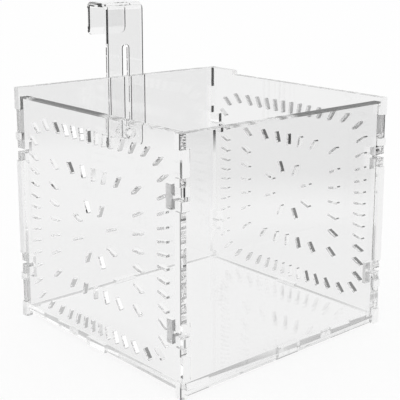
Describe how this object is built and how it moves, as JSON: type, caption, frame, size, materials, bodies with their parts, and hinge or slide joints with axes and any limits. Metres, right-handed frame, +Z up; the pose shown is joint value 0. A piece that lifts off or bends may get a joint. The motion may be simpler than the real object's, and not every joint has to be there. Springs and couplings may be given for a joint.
{
  "type": "fish breeding box",
  "caption": "Open-top clear breeding box of interlocking sheets, with slotted side walls and a hook of adjustable height that hangs it on the rim of a tank.",
  "frame": {"origin": "middle of the whole footprint, hook included, on the plane that the corner feet rest on", "axes": "+Z up; +Y out through the rear wall, towards the hook; +X to the right when facing the hook"},
  "size_m": [0.1014, 0.1158, 0.1226],
  "materials": {
    "clear_sheet": "clear cast acrylic, laser-cut edges",
    "clear_fastener": "clear moulded plastic"
  },
  "bodies": {
    "box": {"front_wall": "clear_sheet", "left_vent_wall": "clear_sheet", "right_vent_wall": "clear_sheet", "rear_wall": "clear_sheet", "floor_plate": "clear_sheet", "hook_screw": "clear_fastener"},
    "hook": {"hanging_hook": "clear_sheet"},
    "nut": {"hook_nut": "clear_fastener"}
  },
  "joints": [
    {"name": "hook_height", "type": "slide", "parent": "box", "child": "hook", "axis": [0, 0, 1], "range_m": [-0.035, 0.0014]},
    {"name": "nut_turn", "type": "hinge", "parent": "box", "child": "nut", "pos_m": [0.0024, 0.0462, 0.0685], "axis": [0, 1, 0], "continuous": true}
  ]
}
